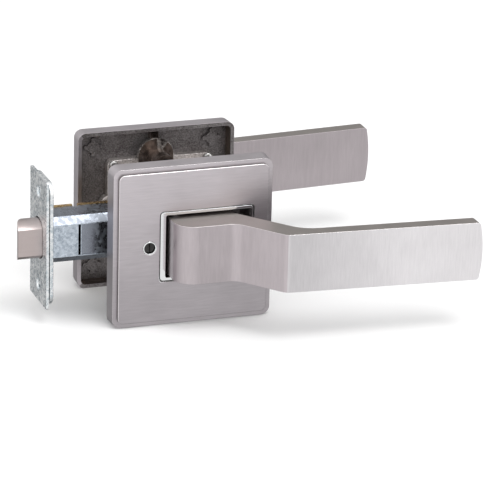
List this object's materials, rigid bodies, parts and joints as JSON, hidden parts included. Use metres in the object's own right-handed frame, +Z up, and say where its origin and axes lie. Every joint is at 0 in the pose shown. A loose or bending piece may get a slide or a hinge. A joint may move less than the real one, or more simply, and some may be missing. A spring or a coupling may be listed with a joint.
{
  "type": "push-pull lever door handle set with tubular latch",
  "caption": "Square-rose push-pull lever handle set for an interior door, with privacy turn, emergency release and spring latch.",
  "frame": {"origin": "on the spindle's axis, in the middle of the door's thickness", "axes": "+X from the door's edge towards the lever tips, +Y through the door from the outside to the inside, +Z up"},
  "size_m": [0.1841, 0.1406, 0.07],
  "materials": {
    "satin_nickel": "satin nickel, brushed grain",
    "polished_chrome": "polished chrome",
    "cast_zinc": "rough die casting",
    "bright_zinc_plate": "blue-white zinc plate",
    "yellow_zinc_plate": "yellow chromated zinc plate",
    "bare_steel": "oiled steel",
    "spring_steel": "drawn spring wire"
  },
  "bodies": {
    "frame": {"outer_rose": "satin_nickel", "outer_bezel": "polished_chrome", "release_ferrule": "polished_chrome", "outer_housing": "cast_zinc", "outer_housing_screws": "bright_zinc_plate", "outer_pivot_pin": "bare_steel", "outer_return_spring": "spring_steel", "inner_rose": "satin_nickel", "inner_bezel": "polished_chrome", "inner_housing": "cast_zinc", "inner_housing_screws": "bright_zinc_plate", "inner_pivot_pin": "bare_steel", "inner_return_spring": "spring_steel", "through_bolts": "bright_zinc_plate", "latch_faceplate": "bright_zinc_plate", "latch_flange": "bright_zinc_plate", "latch_case": "bright_zinc_plate", "latch_cover": "yellow_zinc_plate", "case_rivets": "bright_zinc_plate", "bolt_spring": "spring_steel"},
    "outer_lever_arm": {"outer_lever": "satin_nickel"},
    "inner_lever_arm": {"inner_lever": "satin_nickel"},
    "spindle_group": {"square_spindle": "bare_steel", "outer_drive_barrel": "cast_zinc", "inner_drive_barrel": "cast_zinc", "outer_circlip": "bare_steel", "inner_circlip": "bare_steel", "latch_hub": "cast_zinc"},
    "bolt_group": {"latch_bolt": "satin_nickel", "bolt_tail": "bare_steel"},
    "privacy_group": {"thumb_turn": "satin_nickel", "thumb_turn_washer": "bare_steel", "privacy_spindle": "bare_steel", "release_slot_pin": "bare_steel", "privacy_cam": "cast_zinc"}
  },
  "joints": [
    {"name": "outer_lever_swing", "type": "hinge", "parent": "frame", "child": "outer_lever_arm", "pos_m": [-0.007, -0.0259, 0], "axis": [0, 0, -1], "range_deg": [0, 12], "stiffness_Nm_per_rad": 0.8, "springref_deg": -8.59},
    {"name": "inner_lever_swing", "type": "hinge", "parent": "frame", "child": "inner_lever_arm", "pos_m": [-0.007, 0.0259, 0], "axis": [0, 0, -1], "range_deg": [0, 12]},
    {"name": "spindle_turn", "type": "hinge", "parent": "frame", "child": "spindle_group", "pos_m": [0, 0, 0], "axis": [0, 1, 0], "range_deg": [0, 36]},
    {"name": "bolt_slide", "type": "slide", "parent": "frame", "child": "bolt_group", "axis": [1, 0, 0], "range_m": [0, 0.0104], "deforming": ["bolt_spring"]},
    {"name": "thumb_turn_rotation", "type": "hinge", "parent": "frame", "child": "privacy_group", "pos_m": [-0.0192, 0, 0], "axis": [0, 1, 0], "range_deg": [0, 90]}
  ],
  "couplings": [
    {"joint": "inner_lever_swing", "follows": "outer_lever_swing", "ratio": 1},
    {"joint": "spindle_turn", "follows": "outer_lever_swing", "ratio": 3},
    {"joint": "bolt_slide", "follows": "outer_lever_swing", "m_per_rad": 0.04965}
  ]
}
